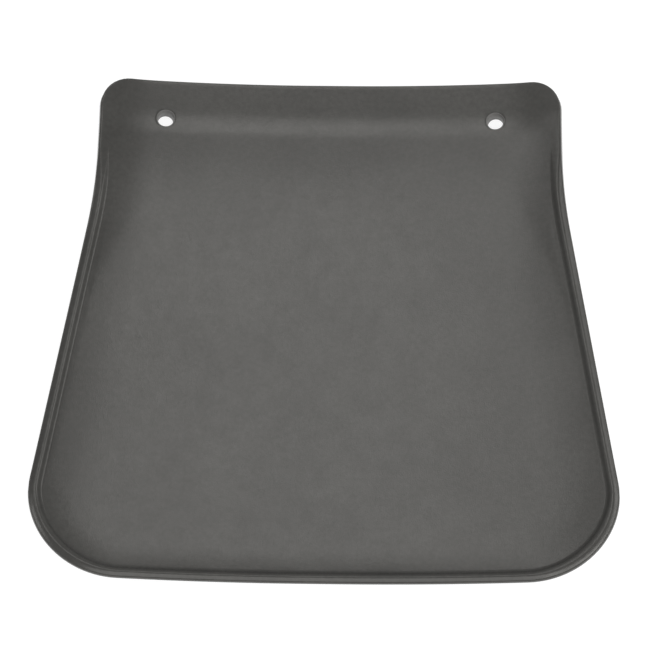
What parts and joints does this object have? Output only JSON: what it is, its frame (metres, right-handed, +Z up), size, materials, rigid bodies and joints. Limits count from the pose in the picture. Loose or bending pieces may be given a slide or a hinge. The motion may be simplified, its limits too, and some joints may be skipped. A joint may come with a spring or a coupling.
{
  "type": "mud flap",
  "caption": "Moulded rubber mud flap: dished tapered sheet with a bead round its sides and bottom, and bolt holes with bushes in a thicker top band.",
  "frame": {"origin": "on the floor, under the centre of the flap's bounding box, with the flap lying on its back", "axes": "+X across the flap, +Y towards the bolted top edge, +Z up out of the dished front face"},
  "size_m": [0.3044, 0.2988, 0.0183],
  "materials": {
    "rubber": "charcoal black, semi-matte, fine moulded grain",
    "bush": "dark grey, satin"
  },
  "bodies": {
    "band": {"mounting_band": "rubber", "left_bolt_bush": "bush", "right_bolt_bush": "bush"},
    "flap": {"flap_panel": "rubber"}
  },
  "joints": [
    {"name": "flap_flex", "type": "hinge", "parent": "band", "child": "flap", "pos_m": [0, 0.1084, 0.0077], "axis": [-1, 0, 0], "range_deg": [0, 35], "stiffness_Nm_per_rad": 1.5}
  ]
}
